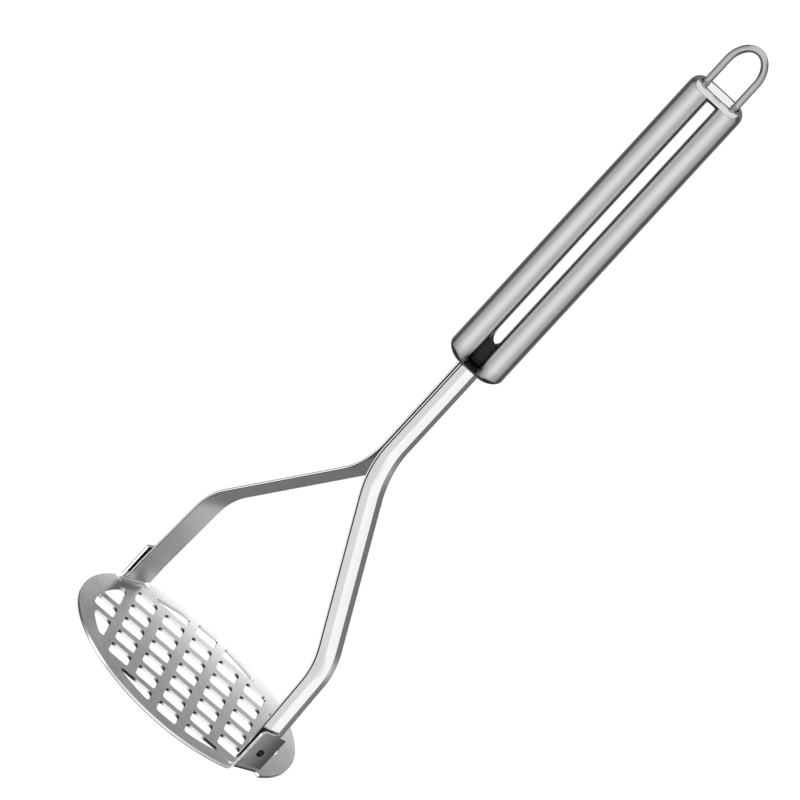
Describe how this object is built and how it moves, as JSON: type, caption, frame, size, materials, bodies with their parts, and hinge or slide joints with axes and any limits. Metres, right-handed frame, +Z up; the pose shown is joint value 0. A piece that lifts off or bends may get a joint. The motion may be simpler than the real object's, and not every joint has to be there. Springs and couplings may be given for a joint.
{
  "type": "potato masher",
  "caption": "Stainless-steel potato masher: round plate with square holes, two-strip fork, slotted hollow handle and a wire hanging loop",
  "frame": {"origin": "middle of the underside of the mashing plate", "axes": "+Z up the handle, +X from one strip of the fork to the other, +Y completes a right-handed frame; the handle's wide side is turned 37 degrees about +Z from +X"},
  "size_m": [0.0842, 0.085, 0.282],
  "materials": {
    "plate_steel": "fine brushed grain, satin",
    "strip_steel": "polished flat strip",
    "rivet_steel": "satin",
    "handle_steel": "polished, faint lengthwise grain",
    "wire_steel": "satin drawn wire"
  },
  "bodies": {
    "root": {"mash_plate": "plate_steel", "arm_left": "strip_steel", "arm_right": "strip_steel", "rivet_left": "rivet_steel", "rivet_right": "rivet_steel", "handle_front_shell": "handle_steel", "handle_back_shell": "handle_steel", "lower_cap": "handle_steel", "end_cap": "handle_steel", "hanging_loop": "wire_steel"}
  },
  "joints": []
}
